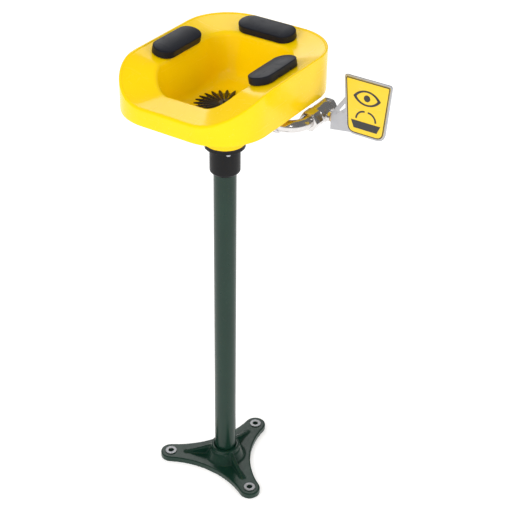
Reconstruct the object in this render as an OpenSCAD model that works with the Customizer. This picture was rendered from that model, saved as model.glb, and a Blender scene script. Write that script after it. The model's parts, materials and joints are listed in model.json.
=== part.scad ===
// Pedestal eyewash station: a moulded bowl with three covered spray heads on a pipe
// pedestal with a three-lobed floor flange, opened by a push flag on a ball valve.
// Millimetres. The origin is on the floor, on the pedestal's axis. The user stands
// at the front, at -Y, and the valve and its flag are on the right, at +X.

/* [Bowl] */
// Width of the bowl from side to side
bowl_w = 280; // [240:5:340]
// Depth of the bowl from front to back
bowl_d = 346; // [300:2:410]
// Radius of the bowl's corners in plan
bowl_corner_r = 90; // [70:1:105]
// Height of the rim above the floor
rim_z = 910; // [800:5:1100]
// Height of the skirt at the sides and the back
skirt_h = 78; // [66:1:100]
// Wall of the moulding
bowl_wall = 4; // [3:0.5:5]
// How far the rim drops at the front
rim_dip = 48; // [20:1:56]
// Length of the drop, measured from the front edge
dip_run = 102; // [80:1:120]
// Height of the bead that runs round the rim
bead_h = 1.5; // [1:0.25:2]
// Width of the bead that runs round the rim
bead_w = 5; // [4:0.5:7]
// Width of the ledge at the sides
ledge_side = 55.5; // [50:0.5:65]
// Width of the ledge at the front
ledge_front = 59; // [50:0.5:70]
// Width of the ledge at the back
ledge_back = 61; // [50:0.5:70]
// How far the ledge falls from the rim to the basin
ledge_fall = 12; // [8:0.5:16]
// How far the basin's edge drops further at the front
edge_dip = 30; // [15:1:34]
// Radius of the basin's corners in plan
basin_corner_r = 50; // [40:1:60]
// Depth of the basin below the rim
basin_depth = 94; // [86:1:110]
// Depth of the drain cup below the basin floor
cup_depth = 73; // [60:1:90]

/* [Spray heads] */
// Distance of each spray head from the outside of the bowl
head_inset = 39.5; // [36:0.5:44]
// Place of the side heads from front to back
head_y = -3; // [-10:1:20]
// Length of a dust cover
cover_l = 114; // [96:1:124]
// Width of a dust cover
cover_w = 44; // [40:1:48]
// Height of a dust cover, its crown included
cover_h = 15; // [13:0.5:18]
// Wall of a dust cover
cover_wall = 2.5; // [2:0.25:3]
// Gap between a dust cover and the ledge
cover_gap = 1.3; // [1.2:0.1:1.8]
// Diameter of a cover's hinge pin
pin_d = 2; // [1.5:0.25:2.5]
// Diameter of a spray head's threaded shank
shank_d = 20; // [18:0.5:22]
// Diameter of the jets in a jet plate
jet_d = 2.4; // [1.5:0.1:3]
// Number of jets along a jet plate
jet_count = 9; // [5:1:11]

/* [Water supply] */
// Drop from the ledge's inner edge to the top of the fittings under the spray heads
fitting_drop = 23; // [18:1:28]
// Outside diameter of the feed tubes
feed_d = 16; // [14:0.5:18]
// Wall of the feed tubes
feed_wall = 1.5; // [1:0.25:2]
// Bend radius of the feed tubes
feed_bend_r = 48; // [40:1:56]
// Clearance between the foot of the skirt and the flats of the union nut
valve_clear = 4; // [0:1:16]
// Outside diameter of the supply pipe
supply_d = 22; // [20:0.5:24]
// Wall of the supply pipe
supply_wall = 2; // [1.5:0.25:3]
// Bend radius of the supply pipe
supply_bend_r = 33; // [28:1:33]
// Distance of the valve's centreline from the side of the bowl
valve_gap = 9; // [8:1:30]

/* [Valve] */
// Place of the ball's centre from front to back
valve_y = 73; // [70:1:90]
// Diameter of the ball
ball_d = 24; // [22:0.5:26]
// Diameter of the waterway through the ball
waterway_d = 14; // [12:0.5:15]
// Diameter of the valve body
valve_d = 34; // [32:0.5:38]
// Diameter of the stem
stem_d = 9; // [8:0.5:10]
// Diameter of the socket that takes the supply line
inlet_d = 20.6; // [18:0.2:22]
// Depth of the socket that takes the supply line
inlet_l = 14; // [12:1:18]

/* [Push flag] */
// Width of the flag at the top
flag_top_w = 91; // [70:1:110]
// Width of the flag at the bottom
flag_foot_w = 74; // [60:1:90]
// Height of the flag
flag_h = 107; // [90:1:130]
// Gap between the bracket's bend and the flag
flag_gap = 23.5; // [10:0.5:35]
// Thickness of the flag and bracket sheet
sheet_t = 2; // [1.5:0.25:3]
// Height of the bracket at its bend
arm_h = 31; // [18:1:36]

/* [Pedestal] */
// Outside diameter of the pedestal pipe
pipe_d = 42.2; // [38:0.1:44]
// Wall of the pedestal pipe
pipe_wall = 3.6; // [2.5:0.1:4.5]
// Outside diameter of the socket under the bowl
socket_d = 56; // [52:0.5:60]
// Height of the socket under the bowl
socket_h = 59; // [45:1:75]
// Width of the socket's flange round its body
socket_flange_w = 9; // [8:0.5:12]
// Diameter of the floor flange's bolt circle
bolt_circle_d = 226; // [200:1:250]
// Diameter of the floor flange's bolt holes
bolt_hole_d = 11; // [9:0.5:13]
// Width of each lobe at its end
lobe_w = 42; // [36:1:50]
// Distance from the axis to the waist between two lobes
waist_r = 52; // [48:1:58]
// Thickness of the lobes
foot_t = 12; // [9:1:16]
// Height of the floor flange's hub
hub_h = 40; // [32:1:55]
// Diameter of the anchor washers
washer_d = 23; // [20:0.5:26]

/* [Hidden] */
$fn = 64;
EPS = 0.01;
fit = 0.05;        // radial clearance of pins, pipes and screws in their holes
clear = 0.4;       // clearance between pieces that move past each other

// ---- bowl outline -------------------------------------------------------------
corner_steps = 10;
side_steps = 6;
dip_power = 1.7;
dip_y = dip_run - bowl_d / 2;
basin_front = bowl_d / 2 - ledge_front;
basin_back = bowl_d / 2 - ledge_back;
basin_side = bowl_w / 2 - ledge_side;
skirt_z = rim_z - skirt_h;
floor_z = rim_z - basin_depth;
cup_z = floor_z - cup_depth;
outlet_r = pipe_d / 2 - pipe_wall;
strainer_r = round(basin_side * 0.66);
cup_r = strainer_r - 10;
cup_step_h = 9;
cup_step_r = cup_r - 5;
bowl_outlet_h = 14;    // height of the sloped bottom of the cup
basin_fall = basin_side - strainer_r - 4.5;    // how far the basin's wall leans in
strainer_t = 3;

function arc(cx, cy, r, a0, a1, n) =
    [for (i = [0:n]) let (a = a0 + (a1 - a0) * i / n) [cx + r * cos(a), cy + r * sin(a)]];

// The same arc without its two ends
function between_arc(cx, cy, r, a0, a1, n) =
    let (points = arc(cx, cy, r, a0, a1, n)) [for (i = [1:n - 1]) points[i]];

function between(a, b, n) = [for (i = [1:n - 1]) a + (b - a) * i / n];

// Rounded rectangle in plan, anticlockwise, with points along its straight sides
function plan(side, front, back, r) =
    let (c = [arc(side - r, back - r, r, 0, 90, corner_steps),
              arc(r - side, back - r, r, 90, 180, corner_steps),
              arc(r - side, r - front, r, 180, 270, corner_steps),
              arc(side - r, r - front, r, 270, 360, corner_steps)])
    [for (k = [0:3])
        each concat(c[k], between(c[k][corner_steps], c[(k + 1) % 4][0], side_steps))];

function outer_plan(inset) = plan(bowl_w / 2 - inset, bowl_d / 2 - inset,
    bowl_d / 2 - inset, bowl_corner_r - inset);
function basin_plan(inset) = plan(basin_side - inset, basin_front - inset,
    basin_back - inset, basin_corner_r - inset);

// Fall of the rim and of the basin's edge toward the front
function dip(y, deep, front) =
    deep * pow(max(0, min(1, (dip_y - y) / (dip_y + front))), dip_power);

function flat_ring(points, z) = [for (p = points) [p.x, p.y, z]];
function rim_ring(inset, up) =
    [for (p = outer_plan(inset)) [p.x, p.y, rim_z + up - dip(p.y, rim_dip, bowl_d / 2)]];
function edge_ring(inset, up) = [for (p = basin_plan(inset))
    [p.x, p.y, rim_z - ledge_fall + up - dip(p.y, edge_dip, basin_front)]];
function round_ring(r, z) = [for (p = basin_plan(0)) [r * p.x / norm(p), r * p.y / norm(p), z]];
function mixed_ring(a, b, s) = [for (i = [0:len(a) - 1]) a[i] + s * (b[i] - a[i])];

// Closed solid through a loop of rings that each have the same number of points
module ring_solid(rings) {
    n = len(rings[0]);
    m = len(rings);
    polyhedron(
        points = [for (ring = rings) each ring],
        faces = [for (k = [0:m - 1], i = [0:n - 1])
            let (a = k * n + i, b = k * n + (i + 1) % n,
                 c = (k + 1) % m * n + (i + 1) % n, d = (k + 1) % m * n + i)
            each [[a, c, b], [a, d, c]]]);
}

// ---- places of the spray heads ---------------------------------------------------
side_tilt = atan((ledge_fall - bead_h) / (ledge_side - bead_w));
back_tilt = atan((ledge_fall - bead_h) / (ledge_back - bead_w));
side_seat_z = rim_z - bead_h - tan(side_tilt) * (head_inset - bead_w);
back_seat_z = rim_z - bead_h - tan(back_tilt) * (head_inset - bead_w);
side_x = bowl_w / 2 - head_inset;
back_y = bowl_d / 2 - head_inset;
// Each head: place on the ledge, direction of its outer side, tilt of the ledge
LEFT = [[-side_x, head_y, side_seat_z], 180, side_tilt];
RIGHT = [[side_x, head_y, side_seat_z], 0, side_tilt];
BACK = [[0, back_y, back_seat_z], 90, back_tilt];

// Upright frame on a head's axis: +X points to the outside of the bowl
module at_head(head) {
    translate(head[0]) rotate([0, 0, head[1]]) children();
}
// The same frame, laid on the sloping ledge
module on_ledge(head) {
    at_head(head) rotate([0, -head[2], 0]) children();
}

boss_drop = 16;        // bottom of the ledge's bosses below the head's seat
boss_r = shank_d / 2 + 9;
locknut_h = 8;
locknut_af = shank_d + 7;
seat_h = 0.5;          // flat seat that stands on the ledge under each head
gasket_t = 1.5;
head_w = cover_w - 14;
head_l = cover_l - 16;
head_h = cover_h - cover_wall - 2;
plate_t = 1.5;
pin_r = pin_d / 2;
knuckle_r = pin_r + 1.1;
pin_x = cover_w / 2 - knuckle_r;
pin_z = cover_gap + knuckle_r;
knuckle_l = 30;
ear_l = 6;
pin_l = knuckle_l + 2 * ear_l + 2;

// ---- pipework ------------------------------------------------------------------
fitting_r = max(shank_d, feed_d) / 2 + 3;
band_r = fitting_r + 2;
band_l = 6;
leg = fitting_r + 7;   // centre of a fitting to its face
socket_l = leg - 8;    // depth of a fitting's socket
feed_r = feed_d / 2;
supply_r = supply_d / 2;
shank_in = leg / 2;    // depth of a shank in its fitting
feed_z = rim_z - ledge_fall - fitting_drop - leg;
shank_end_z = feed_z + leg - shank_in;
valve_x = bowl_w / 2 + valve_gap;
feed_nut_l = 8;
feed_nut_af = feed_d + 8;
supply_leg = supply_r + 4;    // centre of the supply elbow to its side face
supply_socket_l = 10;
riser_in = 8;          // depth of the riser in the supply elbow

// ---- valve ---------------------------------------------------------------------
ball_r = ball_d / 2;
way_r = waterway_d / 2 + 0.5;
chamber_r = ball_r + 1.2;
valve_r = valve_d / 2;
seat_y = ball_r + 3;       // outer face of each seat from the ball's centre
seat_in_y = ball_r - 3;    // inner face of each seat from the ball's centre
spigot_r = supply_r + 3;
body_front_y = valve_y - seat_y - 2;
body_back_y = valve_y + seat_y + 4;
spigot_y = body_front_y - 13;
end_flats = inlet_d + 9.4;
end_y = body_back_y + inlet_l;
control_t = 3;
collar_t = 4;
collar_r = supply_r + 2.5;
nut_lip = 4;
union_af = supply_d + 10;
stem_r = stem_d / 2;
bonnet_r = stem_r + 4.5;
packing_r = stem_r + 2.5;
packing_x = valve_r + 0.5;
packing_l = 3.5;
bonnet_x = packing_x + packing_l + 3;
gland_af = stem_d + 7;
gland_h = 5;
hub_x = bonnet_x + gland_h + 0.5;
handle_nut_af = stem_d + 5;
handle_nut_h = 5;
tang_w = 4;
tang_x = waterway_d / 2 + 1.5;
supply_z = skirt_z - union_af / 2 - valve_clear;

// ---- flag ----------------------------------------------------------------------
arm_y = valve_y - 12;                  // back of the arm's sheet
flag_z = supply_z - 11;                // lower edge of the flag
hub_w = stem_d + 18;
hub_top = 15;
arm_z = supply_z + hub_top - arm_h;    // lower edge of the bracket
flag_x = valve_x + hub_x + flag_gap;   // left end of the flag's top edge
flag_mid_x = flag_x + flag_top_w / 2;
face_t = 0.8;
symbol_t = 0.4;
flag_border = 3.5;
flag_top_r = 5;
flag_foot_r = 12;
rivet_r = 2.5;
rivet_head_h = 1.5;
rivet_in = 20;                         // rivets from the flag's left side
brace_w = 8;

// ---- pedestal ------------------------------------------------------------------
pipe_r = pipe_d / 2;
socket_r = socket_d / 2;
socket_flange_r = socket_r + socket_flange_w;
socket_gasket_t = 2;
socket_top_z = cup_z - socket_gasket_t;
socket_flange_t = 6;
pipe_top_z = socket_top_z - 13;
pipe_foot_z = 10;
screw_circle_r = (socket_r + socket_flange_r) / 2;
screw_r = 2;
screw_head_r = 3.8;
screw_head_h = 3;
screw_l = 14;
collar_top_r = pipe_r + 7.9;
hub_r = collar_top_r + 11;
waste_r = outlet_r - 1;
rib_t = 7;
bolt_circle_r = bolt_circle_d / 2;
lobe_r = lobe_w / 2;
LOBES = [90, 210, 330];
washer_t = 2;

// ---- small helpers ---------------------------------------------------------------
module hex(across, h) {
    cylinder(h = h, d = across / cos(30), $fn = 6);
}
module tube(r_out, r_in, h) {
    difference() {
        cylinder(h = h, r = r_out);
        translate([0, 0, -EPS]) cylinder(h = h + 2 * EPS, r = r_in);
    }
}
// Turns +Z to +X, +Y or -Y
module toward_x() {
    rotate([0, 90, 0]) children();
}
module toward_y() {
    rotate([-90, 0, 0]) children();
}
// Solid leg of a cast fitting along +Z, with a band round its mouth
module fitting_leg() {
    cylinder(h = leg, r = fitting_r);
    translate([0, 0, leg - band_l]) cylinder(h = band_l, r = band_r);
}
// Waterway of a leg, with the socket that takes a tube of radius r
module fitting_bore(l, r, depth) {
    cylinder(h = l, r = feed_r - feed_wall);
    translate([0, 0, l - depth]) cylinder(h = depth + EPS, r = r + fit);
}
// Long rounded block: a lengthwise extrusion of its half section with turned ends
module stadium(l, w) {
    straight = l - w;
    rotate([90, 0, 0]) translate([0, 0, -straight / 2]) linear_extrude(straight) {
        children();
        mirror([1, 0]) children();
    }
    for (side = [-1, 1]) translate([0, side * straight / 2, 0]) rotate_extrude() children();
}
module half_slab(w, z0, z1) {
    translate([0, z0]) square([w / 2, z1 - z0]);
}

// ---- pedestal --------------------------------------------------------------------
// Plan of the floor flange: rounded lobes joined by hollow sides that run into them
module lobed_plan() {
    flank_d = (pow(bolt_circle_r, 2) - pow(lobe_r - waist_r, 2))
        / (bolt_circle_r + 2 * (lobe_r - waist_r));
    flank_r = flank_d - waist_r;
    turn = atan2(flank_d * sin(60), flank_d * cos(60) - bolt_circle_r);
    polygon([for (a = LOBES) each concat(
        arc(bolt_circle_r * cos(a), bolt_circle_r * sin(a), lobe_r, a - turn, a + turn, 14),
        between_arc(flank_d * cos(a + 60), flank_d * sin(a + 60), flank_r,
            a + 180 + turn, a + 300 - turn, 14))]);
}
module floor_flange() {
    rib_end = bolt_circle_r - washer_d / 2;
    rib_foot_z = foot_t / 2;
    color([0.10, 0.25, 0.20]) difference() {
        union() {
            linear_extrude(foot_t) lobed_plan();
            translate([0, 0, foot_t - EPS])
                cylinder(h = hub_h - foot_t - 10, r1 = hub_r, r2 = collar_top_r + 2);
            cylinder(h = hub_h, r = collar_top_r);
            for (a = LOBES) rotate([90, 0, a]) translate([0, 0, -rib_t / 2])
                linear_extrude(rib_t)
                    polygon([[pipe_r + 2, rib_foot_z], [rib_end, rib_foot_z],
                             [pipe_r + 2, hub_h - 3]]);
        }
        translate([0, 0, pipe_foot_z]) cylinder(h = hub_h, r = pipe_r + fit);
        translate([0, 0, -EPS]) cylinder(h = hub_h, r = waste_r);
        for (a = LOBES) rotate(a) translate([bolt_circle_r, 0, -EPS])
            cylinder(h = foot_t + 2 * EPS, d = bolt_hole_d);
    }
}
module anchor_washers() {
    color([0.8, 0.8, 0.82]) for (a = LOBES) rotate(a)
        translate([bolt_circle_r, 0, foot_t]) tube(washer_d / 2, bolt_hole_d / 2, washer_t);
}
module pedestal_pipe() {
    color([0.12, 0.28, 0.23]) translate([0, 0, pipe_foot_z])
        tube(pipe_r, outlet_r, pipe_top_z - pipe_foot_z);
}
module pedestal_socket() {
    chamfer = 5;
    color([0.17, 0.17, 0.18]) difference() {
        union() {
            translate([0, 0, socket_top_z - socket_h + chamfer])
                cylinder(h = socket_h - chamfer, r = socket_r);
            translate([0, 0, socket_top_z - socket_h])
                cylinder(h = chamfer, r1 = socket_r - chamfer, r2 = socket_r);
            translate([0, 0, socket_top_z - socket_flange_t])
                cylinder(h = socket_flange_t, r = socket_flange_r);
        }
        translate([0, 0, socket_top_z - socket_h - EPS])
            cylinder(h = pipe_top_z - socket_top_z + socket_h + EPS, r = pipe_r + fit);
        cylinder(h = rim_z, r = outlet_r);
        at_socket_screws() cylinder(h = rim_z, r = screw_r + fit);
    }
}
module at_socket_screws() {
    for (a = [45:90:315]) rotate(a) translate([screw_circle_r, 0, 0]) children();
}
module socket_gasket() {
    color([0.1, 0.1, 0.1]) difference() {
        translate([0, 0, socket_top_z]) cylinder(h = socket_gasket_t, r = socket_flange_r);
        cylinder(h = rim_z, r = outlet_r);
        at_socket_screws() cylinder(h = rim_z, r = screw_r + fit);
    }
}
module socket_screws() {
    under = socket_top_z - socket_flange_t;
    color([0.7, 0.7, 0.72]) at_socket_screws() {
        translate([0, 0, under]) cylinder(h = screw_l, r = screw_r);
        translate([0, 0, under - screw_head_h]) cylinder(h = screw_head_h, r = screw_head_r);
    }
}

// ---- bowl and drain ----------------------------------------------------------------
module bowl_shell() {
    wall = bowl_wall;
    rim_in = rim_ring(bead_w, -bead_h);
    edge = edge_ring(0, 0);
    edge_low = edge_ring(2, -3);
    under_rim = rim_ring(wall + 3, -bead_h - wall - 1.5);
    under_edge = edge_ring(-wall, -wall);
    fall_to = basin_fall * 0.79;
    foot = flat_ring(basin_plan(fall_to), floor_z + 10);
    above_foot = flat_ring(basin_plan(basin_fall * 0.62), floor_z + 20);
    under_foot = flat_ring(basin_plan(fall_to - wall), floor_z + 10 - wall);
    ring_solid([
        flat_ring(outer_plan(0.8), skirt_z),
        flat_ring(outer_plan(0), skirt_z + 2),
        rim_ring(0, -4),
        rim_ring(0.4, -1.6),
        rim_ring(1.6, -0.4),
        rim_ring(3, 0),
        rim_in,
        mixed_ring(rim_in, edge, 0.5),
        mixed_ring(rim_in, edge, 0.93),
        edge_ring(0.6, -0.6),
        edge_low,
        mixed_ring(edge_low, foot, 0.75),
        mixed_ring(foot, above_foot, 0.2),
        flat_ring(basin_plan(basin_fall), floor_z + 4),
        round_ring(strainer_r + 4, floor_z + 1.5),
        round_ring(strainer_r + 1, floor_z),
        round_ring(cup_r, floor_z),
        round_ring(cup_r, floor_z - cup_step_h),
        round_ring(cup_step_r, floor_z - cup_step_h),
        round_ring(outlet_r + 4, cup_z + bowl_outlet_h),
        round_ring(outlet_r, cup_z + bowl_outlet_h - 5),
        round_ring(outlet_r, cup_z),
        round_ring(socket_flange_r, cup_z),
        round_ring(socket_flange_r, cup_z + bowl_outlet_h - 2),
        round_ring(cup_step_r + wall, floor_z - cup_step_h - wall),
        round_ring(cup_r + wall, floor_z - cup_step_h),
        round_ring(cup_r + wall + 2, floor_z - wall),
        under_foot,
        mixed_ring(under_edge, under_foot, 0.6),
        under_edge,
        mixed_ring(under_rim, under_edge, 0.5),
        under_rim,
        rim_ring(wall, -bead_h - wall - 6),
        flat_ring(outer_plan(wall), skirt_z)]);
}
module bowl() {
    color([0.98, 0.84, 0.05]) difference() {
        union() {
            bowl_shell();
            for (head = [LEFT, RIGHT, BACK]) at_head(head) difference() {
                translate([0, 0, -boss_drop]) cylinder(h = boss_drop, r = boss_r);
                rotate([0, -head[2], 0]) translate([-50, -50, -bowl_wall / 2])
                    cube([100, 100, 50]);
            }
            for (head = [LEFT, RIGHT, BACK]) on_ledge(head)
                stadium(head_l + 5, head_w + 5)
                    half_slab(head_w + 5, -bowl_wall / 2, seat_h);
        }
        for (head = [LEFT, RIGHT, BACK]) at_head(head) translate([0, 0, -boss_drop - 10])
            cylinder(h = 40, r = shank_d / 2 + 0.5);
        at_socket_screws() translate([0, 0, cup_z - EPS])
            cylinder(h = screw_l - socket_flange_t - socket_gasket_t + 1, r = screw_r + fit);
    }
}
module strainer() {
    fingers = 24;
    hub = 13;
    tip_r = strainer_r - 1;
    color([0.1, 0.09, 0.08]) translate([0, 0, floor_z]) difference() {
        union() {
            cylinder(h = strainer_t + 2, r = hub);
            for (i = [0:fingers - 1]) rotate(i * 360 / fingers) linear_extrude(strainer_t)
                polygon([[hub - 4, -1.2], [tip_r * 0.8, -3.2], [tip_r, 0],
                         [tip_r * 0.8, 3.2], [hub - 4, 1.2]]);
        }
        translate([0, 0, -EPS]) cylinder(h = 10, r = screw_r + fit);
    }
}
module strainer_bar() {
    bar_t = 5;
    color([0.75, 0.75, 0.77]) translate([0, 0, floor_z - cup_step_h]) difference() {
        intersection() {
            translate([-cup_r, -5, 0]) cube([2 * cup_r, 10, bar_t]);
            cylinder(h = bar_t, r = cup_r - 1.5);
        }
        translate([0, 0, -EPS]) cylinder(h = bar_t + 2 * EPS, r = screw_r + fit);
    }
}
module strainer_screw() {
    top = floor_z + strainer_t + 2;
    color([0.75, 0.75, 0.77]) {
        translate([0, 0, top]) cylinder(h = screw_head_h, r = screw_head_r);
        translate([0, 0, top - 18]) cylinder(h = 18, r = screw_r);
    }
}

// ---- spray heads -------------------------------------------------------------------
module head_gasket(head) {
    color([0.12, 0.12, 0.12]) on_ledge(head) difference() {
        stadium(head_l + 2, head_w + 2)
            half_slab(head_w + 2, seat_h, seat_h + gasket_t);
        rotate([0, head[2], 0]) translate([0, 0, -5]) cylinder(h = 10, r = shank_d / 2 + 0.5);
    }
}
module spray_head(head) {
    well_r = waterway_d / 2;
    color([0.16, 0.17, 0.19]) difference() {
        union() {
            on_ledge(head) {
                stadium(head_l, head_w) half_slab(head_w, seat_h + gasket_t, head_h);
                for (side = [-1, 1]) translate([0, side * (knuckle_l + ear_l) / 2, 0])
                    hinge_ear(ear_l - 2 * clear);
            }
            at_head(head) translate([0, 0, shank_end_z - head[0].z])
                cylinder(h = head[0].z - shank_end_z + gasket_t + 3, r = shank_d / 2);
        }
        on_ledge(head) stadium(head_l - 6, head_w - 6)
            half_slab(head_w - 6, head_h - plate_t - 2, head_h + EPS);
        on_ledge(head) stadium(head_l - 3, head_w - 3)
            half_slab(head_w - 3, head_h - plate_t, head_h + EPS);
        on_ledge(head) translate([pin_x, 0, pin_z]) toward_y()
            cylinder(h = 3 * pin_l, r = pin_r + fit / 2, center = true);
        at_head(head) translate([0, 0, shank_end_z - head[0].z - EPS])
            cylinder(h = head[0].z - shank_end_z + head_h - plate_t - 1, r = well_r);
    }
}
// Ear that carries the hinge pin, running from the head's side to the pin
module hinge_ear(l) {
    translate([pin_x, 0, pin_z]) toward_y() cylinder(h = l, r = knuckle_r, center = true);
    translate([head_w / 2 - 2, -l / 2, seat_h + gasket_t])
        cube([pin_x - head_w / 2 + 2, l, pin_z + knuckle_r - seat_h - gasket_t - 0.6]);
}
module jet_plate(head) {
    pitch = (head_l - head_w) / (jet_count - 1);
    color([0.6, 0.62, 0.64]) on_ledge(head) difference() {
        stadium(head_l - 3 - 2 * fit, head_w - 3 - 2 * fit)
            half_slab(head_w - 3 - 2 * fit, head_h - plate_t, head_h);
        for (i = [0:jet_count - 1], row = [-1, 1])
            translate([row * 4, (i - (jet_count - 1) / 2) * pitch, head_h - plate_t - 1])
                cylinder(h = plate_t + 2, d = jet_d, $fn = 16);
    }
}
module locknut(head) {
    color([0.78, 0.65, 0.3]) at_head(head) translate([0, 0, -boss_drop - locknut_h])
        difference() {
            rotate(30) hex(locknut_af, locknut_h);
            translate([0, 0, -EPS]) cylinder(h = locknut_h + 2 * EPS, r = shank_d / 2 + fit);
        }
}
module hinge_pin(head) {
    color([0.8, 0.8, 0.82]) on_ledge(head) translate([pin_x, 0, pin_z]) toward_y()
        cylinder(h = pin_l - 2, r = pin_r, center = true);
}
// Half section of a dust cover: straight side, rounded shoulder and low crown
module cover_section(w, top, crown) {
    shoulder = 3;
    polygon(concat([[0, 0], [w / 2, 0]],
        arc(w / 2 - shoulder, top - crown - shoulder, shoulder, 0, 80, 5),
        [[w / 4, top - crown / 4], [0, top]]));
}
module dust_cover(head) {
    crown = 1.5;
    notch = ear_l + 0.4;
    inner_w = cover_w - 2 * cover_wall;
    inner_l = cover_l - 2 * cover_wall;
    inner_top = cover_h - cover_wall - crown;
    color([0.19, 0.20, 0.23]) on_ledge(head) difference() {
        union() {
            difference() {
                translate([0, 0, cover_gap]) stadium(cover_l, cover_w)
                    cover_section(cover_w, cover_h, crown);
                stadium(inner_l, inner_w) half_slab(inner_w, -1, inner_top + cover_gap);
            }
            translate([pin_x, 0, pin_z]) toward_y()
                cylinder(h = knuckle_l, r = knuckle_r, center = true);
            translate([pin_x, -knuckle_l / 2, pin_z]) cube([knuckle_r, knuckle_l, 4]);
        }
        for (side = [-1, 1])
            translate([pin_x - 4, side * (knuckle_l + ear_l) / 2 - notch / 2, -1])
                cube([10, notch, pin_z + knuckle_r + clear + 1]);
        translate([pin_x, 0, pin_z]) toward_y()
            cylinder(h = knuckle_l + 4 * ear_l, r = pin_r + fit, center = true);
    }
}

module gasket_left() { head_gasket(LEFT); }
module gasket_right() { head_gasket(RIGHT); }
module gasket_back() { head_gasket(BACK); }
module spray_head_left() { spray_head(LEFT); }
module spray_head_right() { spray_head(RIGHT); }
module spray_head_back() { spray_head(BACK); }
module jet_plate_left() { jet_plate(LEFT); }
module jet_plate_right() { jet_plate(RIGHT); }
module jet_plate_back() { jet_plate(BACK); }
module locknut_left() { locknut(LEFT); }
module locknut_right() { locknut(RIGHT); }
module locknut_back() { locknut(BACK); }
module hinge_pin_left() { hinge_pin(LEFT); }
module hinge_pin_right() { hinge_pin(RIGHT); }
module hinge_pin_back() { hinge_pin(BACK); }
module dust_cover_left() { dust_cover(LEFT); }
module dust_cover_right() { dust_cover(RIGHT); }
module dust_cover_back() { dust_cover(BACK); }

// ---- feed pipework -----------------------------------------------------------------
// Each fitting has an upright leg for a head's shank and legs for its tubes
module feed_fitting(place, turns, down) {
    color([0.72, 0.6, 0.3]) translate(place) difference() {
        union() {
            sphere(r = fitting_r);
            fitting_leg();
            for (a = turns) rotate([0, 0, a]) toward_x() fitting_leg();
            if (down) rotate([180, 0, 0]) fitting_leg();
        }
        fitting_bore(leg, shank_d / 2, shank_in + 0.5);
        for (a = turns) rotate([0, 0, a]) toward_x() fitting_bore(leg, feed_r, socket_l);
        if (down) rotate([180, 0, 0]) fitting_bore(leg, feed_r, socket_l);
    }
}
module right_tee() { feed_fitting([side_x, head_y, feed_z], [90], true); }
module back_tee() { feed_fitting([0, back_y, feed_z], [0, 180], false); }
module left_elbow() { feed_fitting([-side_x, head_y, feed_z], [90], false); }

// Tube from a side fitting round the back corner to the back fitting
module feed_tube() {
    reach = leg - socket_l;
    run_y = back_y - feed_bend_r - head_y - reach;
    run_x = side_x - feed_bend_r - reach;
    color([0.75, 0.76, 0.78]) {
        translate([side_x, head_y + reach, feed_z]) toward_y()
            tube(feed_r, feed_r - feed_wall, run_y);
        translate([side_x - feed_bend_r, back_y - feed_bend_r, feed_z])
            rotate_extrude(angle = 90) translate([feed_bend_r, 0]) difference() {
                circle(feed_r);
                circle(feed_r - feed_wall);
            }
        translate([reach, back_y, feed_z]) toward_x()
            tube(feed_r, feed_r - feed_wall, run_x);
    }
}
module feed_tube_right() { feed_tube(); }
module feed_tube_left() { mirror([1, 0, 0]) feed_tube(); }
module feed_nut() {
    difference() {
        hex(feed_nut_af, feed_nut_l);
        translate([0, 0, -EPS]) cylinder(h = feed_nut_l + 2 * EPS, r = feed_r + fit);
    }
}
module feed_nuts() {
    color([0.72, 0.6, 0.3]) for (side = [-1, 1]) {
        translate([side * side_x, head_y + leg, feed_z]) toward_y() feed_nut();
        translate([side * leg, back_y, feed_z]) rotate([0, 90 * side, 0]) feed_nut();
    }
}

// ---- supply pipe ----------------------------------------------------------------
module supply_elbow() {
    color([0.72, 0.73, 0.75]) translate([side_x, head_y, supply_z]) difference() {
        union() {
            sphere(r = supply_r + 3);
            fitting_leg();
            toward_x() cylinder(h = supply_leg, r = supply_r + 3);
            toward_x() translate([0, 0, supply_leg - band_l])
                cylinder(h = band_l, r = supply_r + 5);
        }
        fitting_bore(leg, feed_r, riser_in);
        toward_x() fitting_bore(supply_leg, supply_r, supply_socket_l);
    }
}
module riser_nipple() {
    bottom = supply_z + leg - riser_in;
    top = feed_z - leg + socket_l;
    color([0.75, 0.76, 0.78]) translate([side_x, head_y, bottom])
        tube(feed_r, feed_r - feed_wall, top - bottom);
}
module supply_pipe() {
    start_x = side_x + supply_leg - supply_socket_l;
    bend_x = valve_x - supply_bend_r;
    bend_y = head_y + supply_bend_r;
    end = spigot_y - control_t;
    inner = supply_r - supply_wall;
    color([0.8, 0.8, 0.82]) {
        translate([start_x, head_y, supply_z]) toward_x()
            tube(supply_r, inner, bend_x - start_x);
        translate([bend_x, bend_y, supply_z]) rotate([0, 0, -90])
            rotate_extrude(angle = 90) translate([supply_bend_r, 0]) difference() {
                circle(supply_r);
                circle(inner);
            }
        translate([valve_x, bend_y, supply_z]) toward_y() tube(supply_r, inner, end - bend_y);
        translate([valve_x, end - collar_t, supply_z]) toward_y()
            tube(collar_r, inner, collar_t);
    }
}
// ---- valve, drawn along +Y from the ball's centre ------------------------------------
module at_valve() {
    translate([valve_x, valve_y, supply_z]) children();
}
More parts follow.
